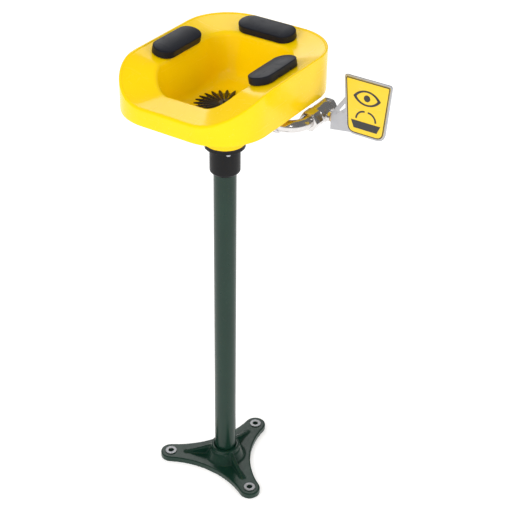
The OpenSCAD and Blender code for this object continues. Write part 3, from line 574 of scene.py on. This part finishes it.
def build_strainer():
    """Star of ridged fingers round a domed hub."""
    bm = bmesh.new()
    hub = [(2.3, 0), (13, 0), (13, 3.2), (11, 4.8), (5, 5), (2.3, 5)]
    turned(bm, eased(hub, [0.2, 0.6, 1, 1.5, 0.5, 0.4]),
           Matrix.Translation((0, 0, FLOOR_Z)))
    fingers = 24
    stations = [(10, 1.3, 3.2), (22, 1.9, 3.0), (34, 2.6, 2.9), (44, 3.2, 2.7),
                (50, 2.4, 2.4), (54, 0.9, 2.0), (55, 0.25, 1.7)]
    for i in range(fingers):
        place = Matrix.Translation((0, 0, FLOOR_Z)) @ spin("Z", i * 360 / fingers)
        rings = [[(r, -half, 0.2), (r, half, 0.2), (r, half, top * 0.55),
                  (r, half * 0.4, top), (r, -half * 0.4, top), (r, -half, top * 0.55)]
                 for r, half, top in stations]
        loft(bm, rings, place=place)
    piece("strainer_star", bm, "stand", "strainer_black", ["strainer"],
          sharp=50)


# ---- dust covers -----------------------------------------------------------------------
def stadium_ring(length, width, z, steps=20, mids=8):
    r = max(width / 2, 0.05)
    straight = (length - width) / 2
    ends = [arc(0, straight, r, 0, 180, steps), arc(0, -straight, r, 180, 360, steps)]
    points = []
    for i, end in enumerate(ends):
        a, b = Vector(end[-1]), Vector(ends[1 - i][0])
        points += [Vector(p) for p in end]
        points += [a.lerp(b, k / mids) for k in range(1, mids)]
    return flat_ring(points, z)


def cut_away(obj, cutters):
    """Takes the cutters' meshes away from obj's mesh."""
    for bm in cutters:
        mesh = bpy.data.meshes.new("cutter")
        bmesh.ops.recalc_face_normals(bm, faces=bm.faces)
        bm.to_mesh(mesh)
        bm.free()
        cutter = bpy.data.objects.new("cutter", mesh)
        bpy.context.scene.collection.objects.link(cutter)
        weights = [m.name for m in obj.modifiers]
        for name in weights:
            obj.modifiers.remove(obj.modifiers[name])
        cutting = obj.modifiers.new("cut", "BOOLEAN")
        cutting.operation = "DIFFERENCE"
        cutting.solver = "EXACT"
        cutting.object = cutter
        bpy.context.view_layer.update()
        graph = bpy.context.evaluated_depsgraph_get()
        done = bpy.data.meshes.new_from_object(obj.evaluated_get(graph))
        obj.modifiers.remove(cutting)
        obj.data = done
        bpy.data.objects.remove(cutter)
        obj.modifiers.new("weight", "WEIGHTED_NORMAL").keep_sharp = True


def block(low, high, place):
    bm = bmesh.new()
    x0, y0, z0 = low
    x1, y1, z1 = high
    loft(bm, [[(x0, y0, z), (x1, y0, z), (x1, y1, z), (x0, y1, z)] for z in (z0, z1)],
         place=place)
    return bm


def build_dust_cover(side):
    place = on_ledge(side)
    top = COVER_H + COVER_GAP
    inner_l, inner_w = COVER_L - 2 * COVER_WALL, COVER_W - 2 * COVER_WALL
    ceiling = top - COVER_WALL - CROWN
    outside = [stadium_ring(COVER_L - 1, COVER_W - 1, COVER_GAP),
               stadium_ring(COVER_L, COVER_W, COVER_GAP + 0.6),
               stadium_ring(COVER_L - 0.6, COVER_W - 0.6, top - CROWN - 0.6)]
    crown = []
    for k in range(8):
        share = k / 7
        inset = 2 * (3.2 + share * (COVER_W / 2 - 3.5))
        crown.append(stadium_ring(COVER_L - inset, COVER_W - inset,
                                  top - CROWN * (1 - share) ** 2))
    inside = [stadium_ring(inner_l - inner_w + 1, 1, ceiling),
              stadium_ring(inner_l - 1, inner_w - 1, ceiling),
              stadium_ring(inner_l, inner_w, ceiling - 1),
              stadium_ring(inner_l, inner_w, COVER_GAP)]
    rings = eased_rings(inside + outside + crown,
                        [0, 1, 1, 0.4, 0.4, 0.5, 3.4] + [0.8] * 7 + [0], 4, 0, False)
    bm = bmesh.new()
    loft(bm, rings, place=place)
    cover = piece(f"dust_cover_{side}_shell", bm, f"cover_{side}",
                  "cover_plastic", [f"dust_cover_{side}"])
    notch, centre = EAR_L / 2 + 0.2, (KNUCKLE_L + EAR_L) / 2
    cut_away(cover, [block((PIN_X - 4, s * centre - notch, -1),
                           (PIN_X + 6, s * centre + notch, PIN_Z + KNUCKLE_R + 0.4), place)
                     for s in (-1, 1)])
    barrel = eased([(0.8, -KNUCKLE_L / 2), (KNUCKLE_R, -KNUCKLE_L / 2),
                    (KNUCKLE_R, KNUCKLE_L / 2), (0.8, KNUCKLE_L / 2)], 0.4, 3)
    bm = bmesh.new()
    bm.from_mesh(cover.data)
    turned(bm, barrel, place @ Matrix.Translation((PIN_X, 0, PIN_Z)) @ spin("X", 90),
           steps=32)
    bm.to_mesh(cover.data)
    bm.free()


# ---- pedestal --------------------------------------------------------------------------
def cast_copy(name, node, finish, voxel, passes):
    """Cast version of a node: remeshed at voxel millimetres, its edges softened."""
    source = frame["nodes"][node]
    obj = bpy.data.objects.new(name, source.data.copy())
    bpy.context.scene.collection.objects.link(obj)
    remesh = obj.modifiers.new("remesh", "REMESH")
    remesh.mode = "VOXEL"
    remesh.voxel_size = voxel * MM
    soften = obj.modifiers.new("soften", "SMOOTH")
    soften.factor = 0.5
    soften.iterations = passes
    bpy.context.view_layer.update()
    graph = bpy.context.evaluated_depsgraph_get()
    mesh = bpy.data.meshes.new_from_object(obj.evaluated_get(graph))
    obj.modifiers.clear()
    obj.data = mesh
    mesh.name = name
    mesh.materials.clear()
    mesh.materials.append(FINISHES[finish])
    mesh.polygons.foreach_set("use_smooth", [True] * len(mesh.polygons))
    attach(obj, "stand")
    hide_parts(node)
    return obj


def build_washers():
    bm = bmesh.new()
    for angle in (90, 210, 330):
        place = spin("Z", angle) @ Matrix.Translation((113, 0, 12))
        turned(bm, eased(tube_profile(5.5, 11.5, 0, 2), 0.5, 3), place)
    piece("anchor_washer_rings", bm, "stand", "zinc", ["anchor_washers"])


def build_socket():
    bm = bmesh.new()
    profile = [(21.2, 682), (23.5, 682), (28, 687), (28, 733), (31, 735), (37, 735),
               (37, 741), (17.5, 741), (17.5, 728), (21.2, 728)]
    turned(bm, eased(profile, [0.4, 1, 1.5, 1.5, 1, 0.8, 0.8, 0.3, 0.2, 0.2], 4), steps=96)
    piece("socket_moulding", bm, "stand", "black_plastic",
          ["pedestal_socket"])


def build_spray_head(side):
    """Body with its recess for the jet plate, hinge ears and a ridged shank."""
    place = on_ledge(side)
    top, floor = 10.5, 9
    rings = [stadium_ring(HEAD_L, HEAD_W, 2), stadium_ring(HEAD_L, HEAD_W, top),
             stadium_ring(HEAD_L - 2.8, HEAD_W - 2.8, top),
             stadium_ring(HEAD_L - 2.8, HEAD_W - 2.8, floor)]
    bm = bmesh.new()
    loft(bm, eased_rings(rings, [0, 1, 0.5, 0], 3, 0, False), place=place)
    for s in (-1, 1):
        y = s * (KNUCKLE_L + EAR_L) / 2
        ear = [(HEAD_W / 2 - 2, 2), (PIN_X, PIN_Z - KNUCKLE_R),
               (PIN_X + KNUCKLE_R, PIN_Z), (PIN_X, PIN_Z + KNUCKLE_R),
               (HEAD_W / 2 - 2, PIN_Z + KNUCKLE_R - 0.6)]
        outline = eased(ear, [0, 1.6, 1.6, 1.6, 0], 4)
        plate(bm, outline, EAR_L - 0.8, place @ Matrix.Translation((0, y + 2.6, 0))
              @ spin("X", 90), 0.3)
    seat, turn, _ = HEADS[side]
    low, pitch = FEED_Z + LEG / 2 - seat[2], THREAD_PITCH
    shank = [(7, low)]
    for k in range(int(-low / pitch)):
        z = low + k * pitch
        shank += [(9.3, z + 0.1), (10, z + pitch * 0.5), (9.3, z + pitch - 0.1)]
    turned(bm, shank + [(9.3, 3), (7, 3)], Matrix.Translation(seat) @ spin("Z", turn))
    piece(f"spray_head_{side}_body", bm, "stand", "head_plastic",
          [f"spray_head_{side}"])


# ---- pipework --------------------------------------------------------------------------
TOWARD_X, TOWARD_Y = spin("Y", 90), spin("X", -90)


def along(place, turn, start=0.0):
    return Matrix.Translation(place) @ turn @ Matrix.Translation((0, 0, start))


def build_feed_nuts():
    bm = bmesh.new()
    for s in (-1, 1):
        hex_nut(bm, 24, 8.05, 8, along((s * SIDE_X, HEAD_Y, FEED_Z), TOWARD_Y, LEG))
        hex_nut(bm, 24, 8.05, 8, along((0, BACK_Y, FEED_Z), spin("Y", 90 * s), LEG))
    piece("feed_nut_set", bm, "stand", "brass", ["feed_nuts"])


def build_locknut(side):
    place, turn, _ = HEADS[side]
    bm = bmesh.new()
    hex_nut(bm, 27, 10.05, 8, Matrix.Translation(place)
            @ Matrix.Translation((0, 0, -24)) @ spin("Z", turn + 30))
    piece(f"locknut_{side}_hex", bm, "stand", "brass", [f"locknut_{side}"])


def build_valve():
    """Ball valve: cast body with its bonnet, union nut, threaded end, gland and nut."""
    body = [(14, -30), (14, -19), (17, -16.6), (17, -9), (16.4, -8.4), (16.4, -7.4),
            (17, -6.8), (17, 14), (16.2, 15), (16.2, 16), (17, 17), (17, 19),
            (13.2, 19), (13.2, -15), (7.5, -15), (7.5, -30)]
    bm = bmesh.new()
    turned(bm, eased(body, 0.5, 3), along(VALVE, TOWARD_Y), steps=80)
    bonnet = [(4.6, 14), (12.5, 14), (9.4, 17.5), (9, 18.5), (9, 24), (7, 24),
              (7, 17.5), (4.6, 17.5)]
    turned(bm, eased(bonnet, 0.6, 3), along(VALVE, TOWARD_X))
    piece("valve_body_casting", bm, "stand", "chrome", ["valve_body"])
    bm = bmesh.new()
    hex_nut(bm, 32, 11.15, 23, along(VALVE, TOWARD_Y, -41), 1.6)
    piece("union_nut_hex", bm, "stand", "chrome", ["union_nut"])
    bm = bmesh.new()
    hex_nut(bm, 16, 4.6, 5, along(VALVE, TOWARD_X, 24), 0.8)
    piece("gland_nut_hex", bm, "stand", "brass", ["gland_nut"])
    bm = bmesh.new()
    hex_nut(bm, 14, 4.6, 5, along(VALVE, TOWARD_X, 31.5), 0.8)
    piece("handle_nut_hex", bm, "push_handle", "stainless", ["handle_nut"])
    bm = bmesh.new()
    thread = []
    for k in range(9):
        thread += [(10.3, 19.4 + 1.4 * k), (9.8, 20.1 + 1.4 * k)]
    rings = [hexagon(30, 14.4, 19.01), hexagon(30, 17.4, 20.2), hexagon(30, 17.4, 31.6),
             hexagon(30, 15.6, 32.6), hexagon(30, 14.4, 33), circle(11.2, 33, NUT_STEPS),
             circle(10.3, 32.2, NUT_STEPS)]
    rings += [circle(r, z, NUT_STEPS) for r, z in reversed(thread)]
    rings.append(circle(7.5, 19.2, NUT_STEPS))
    loft(bm, rings, True, along(VALVE, TOWARD_Y))
    piece("valve_end_hex", bm, "stand", "chrome", ["valve_end"])


# ---- push flag -------------------------------------------------------------------------
def flag_outline(inset):
    """Rounded trapezium of the flag in X and Z, set in from its edge."""
    half_top, half_foot = FLAG_TOP / 2 - inset, FLAG_FOOT / 2 - inset
    corners = [(half_foot, inset), (half_top, FLAG_H - inset),
               (-half_top, FLAG_H - inset), (-half_foot, inset)]
    top_cut, foot_cut = max(1.5, 7 - inset), 17 - inset
    return eased(corners, [foot_cut, top_cut, top_cut, foot_cut], 10, 6)


def flag_sheet(bm, outline, back, thickness, edge):
    """Sheet facing the front, with its back at a given Y."""
    place = Matrix.Translation((FLAG_MID, back, FLAG_Z)) @ spin("X", 90)
    plate(bm, outline, thickness, place, edge)


def build_flag():
    front = FLAG_BACK - SHEET
    bm = bmesh.new()
    flag_sheet(bm, flag_outline(0), front, SHEET, 0.5)
    piece("flag_plate_sheet", bm, "push_handle", "sheet_steel",
          ["flag_plate"])
    bm = bmesh.new()
    flag_sheet(bm, flag_outline(3.5), front - SHEET, FACE, 0.2)
    piece("flag_face_film", bm, "push_handle", "sign_yellow",
          ["flag_face"])
    bm = bmesh.new()
    height = front - SHEET - FACE
    inner, outer = flag_outline(5.6), flag_outline(3.8)
    rings = [[(FLAG_MID + p.x, y, FLAG_Z + p.y) for p in line]
             for line, y in ((outer, height + 0.1), (outer, height - 0.15),
                             (inner, height - 0.15), (inner, height + 0.1))]
    loft(bm, rings, True)
    piece("flag_printed_outline", bm, "push_handle", "sign_black")


def build_all():
    paint_cad_nodes()
    build_bowl()
    build_strainer()
    for side in HEADS:
        build_dust_cover(side)
        build_spray_head(side)
        build_locknut(side)
    cast_copy("floor_flange_casting", "floor_flange", "green_casting",
              1.3, 6)
    for node, finish in (("right_tee", "brass"), ("back_tee", "brass"),
                         ("left_elbow", "brass"), ("supply_elbow", "chrome")):
        cast_copy(node + "_casting", node, finish, 0.7, 5)
    build_washers()
    build_socket()
    build_feed_nuts()
    build_valve()
    build_flag()


# ---- studio ----------------------------------------------------------------------------
def build_studio():
    bm = bmesh.new()
    loft(bm, [[(x * FLOOR_R, y * FLOOR_R, z)
               for x, y in ((-1, -1), (1, -1), (1, 1), (-1, 1))] for z in (0, -FLOOR_T)])
    mesh = bpy.data.meshes.new("studio_floor")
    bmesh.ops.recalc_face_normals(bm, faces=bm.faces)
    bm.to_mesh(mesh)
    bm.free()
    studio_floor = bpy.data.objects.new("studio_floor", mesh)
    bpy.context.scene.collection.objects.link(studio_floor)
    paper = Finish("studio_paper", Roughness=0.9, Specular_IOR_Level=0.1,
                   Emission_Color=(1, 1, 1, 1), Emission_Strength=0.3)
    mesh.materials.append(paper.varies(Base_Color=paper.mix(
        (0.90, 0.90, 0.90), (0.93, 0.93, 0.93), paper.noise(400, 2.0))))
    bpy.context.scene.view_settings.view_transform = "Standard"
    build_world()
    middle = Vector((0, 0, 0.85))
    key = add_soft_light("key", (-0.6, -3.0, 2.6), middle, 1.6, 1.6, 44)
    side = add_soft_light("side", (3.0, -0.6, 1.4), middle, 1.4, 1.8, 24)
    key.visible_glossy = side.visible_glossy = False
    window = middle + 3 * Vector((-0.557, 0.663, 0.5))
    add_soft_light("window", window, middle, 1.0, 1.7, 13)
    add_soft_light("strip", (1.7, -2.3, 2.3), middle, 0.25, 0.9, 4)


def build_world():
    """White surroundings that light the part softly and look darker in its gloss."""
    world = bpy.data.worlds.new("studio")
    world.use_nodes = True
    nodes, links = world.node_tree.nodes, world.node_tree.links
    path = nodes.new("ShaderNodeLightPath")

    def chosen(kind, low, high):
        step = nodes.new("ShaderNodeMapRange")
        links.new(path.outputs[kind], step.inputs["Value"])
        for name, level in (("To Min", low), ("To Max", high)):
            if isinstance(level, float):
                step.inputs[name].default_value = level
            else:
                links.new(level, step.inputs[name])
        return step.outputs["Result"]

    background = nodes["Background"]
    background.inputs["Color"].default_value = (1, 1, 1, 1)
    soft = chosen("Is Glossy Ray", 0.72, 0.2)
    links.new(chosen("Is Camera Ray", soft, 1.0), background.inputs["Strength"])
    bpy.context.scene.world = world


build_all()
build_studio()
